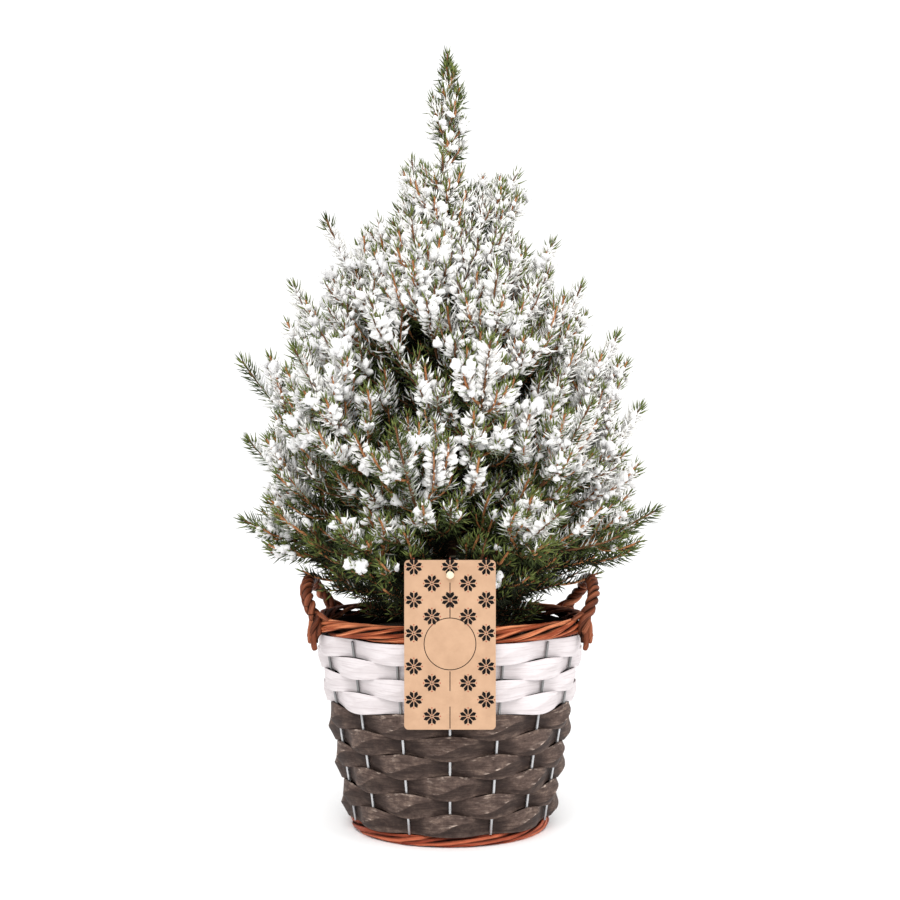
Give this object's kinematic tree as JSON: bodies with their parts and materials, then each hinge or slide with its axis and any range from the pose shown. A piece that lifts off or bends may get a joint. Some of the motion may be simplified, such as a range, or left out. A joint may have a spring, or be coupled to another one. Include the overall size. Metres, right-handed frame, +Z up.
{
  "type": "potted dwarf alberta spruce",
  "caption": "Cone-shaped dwarf spruce dusted with snow, in a round two-colour chipwood basket with a willow rim and foot, side handles and a hanging paper tag.",
  "frame": {"origin": "centre of the flat underside of the basket, on the ground", "axes": "+Z up along the trunk, -Y towards the front where the tag hangs, +X to the right seen from the front"},
  "size_m": [0.3312, 0.3037, 0.607],
  "materials": {
    "chip_grey": "matt stained wood chip",
    "chip_white": "matt painted wood chip",
    "wire": "satin wire",
    "willow": "varnished willow",
    "liner": "matt film",
    "soil": "moist potting soil",
    "tag_paper": "uncoated kraft board",
    "string": "cotton string",
    "bark": "rough bark",
    "foliage": "needles with snow on them"
  },
  "bodies": {
    "root": {"weave_grey": "chip_grey", "weave_white": "chip_white", "wire_frame": "wire", "basket_foot": "willow", "basket_rim": "willow", "handle_left": "willow", "handle_right": "willow", "liner": "liner", "soil": "soil", "tag": "tag_paper", "tag_string": "string", "trunk": "bark", "bough_middle_1": "bark", "bough_middle_2": "bark", "bough_middle_3": "bark", "bough_middle_4": "bark", "bough_middle_5": "bark", "bough_middle_6": "bark", "bough_low_1": "bark", "bough_low_2": "bark", "bough_low_3": "bark", "bough_low_4": "bark", "bough_low_5": "bark", "bough_low_6": "bark", "bough_skirt_1": "bark", "bough_skirt_2": "bark", "bough_skirt_3": "bark", "bough_skirt_4": "bark", "bough_skirt_5": "bark", "bough_skirt_6": "bark", "foliage_leader": "foliage", "foliage_crest_1": "foliage", "foliage_crest_2": "foliage", "foliage_crest_3": "foliage", "foliage_upper_1": "foliage", "foliage_upper_2": "foliage", "foliage_upper_3": "foliage", "foliage_upper_4": "foliage", "foliage_high_1": "foliage", "foliage_high_2": "foliage", "foliage_high_3": "foliage", "foliage_high_4": "foliage", "foliage_middle_1": "foliage", "foliage_middle_2": "foliage", "foliage_middle_3": "foliage", "foliage_middle_4": "foliage", "foliage_middle_5": "foliage", "foliage_middle_6": "foliage", "foliage_low_1": "foliage", "foliage_low_2": "foliage", "foliage_low_3": "foliage", "foliage_low_4": "foliage", "foliage_low_5": "foliage", "foliage_low_6": "foliage", "foliage_skirt_1": "foliage", "foliage_skirt_2": "foliage", "foliage_skirt_3": "foliage", "foliage_skirt_4": "foliage", "foliage_skirt_5": "foliage", "foliage_skirt_6": "foliage"}
  },
  "joints": []
}
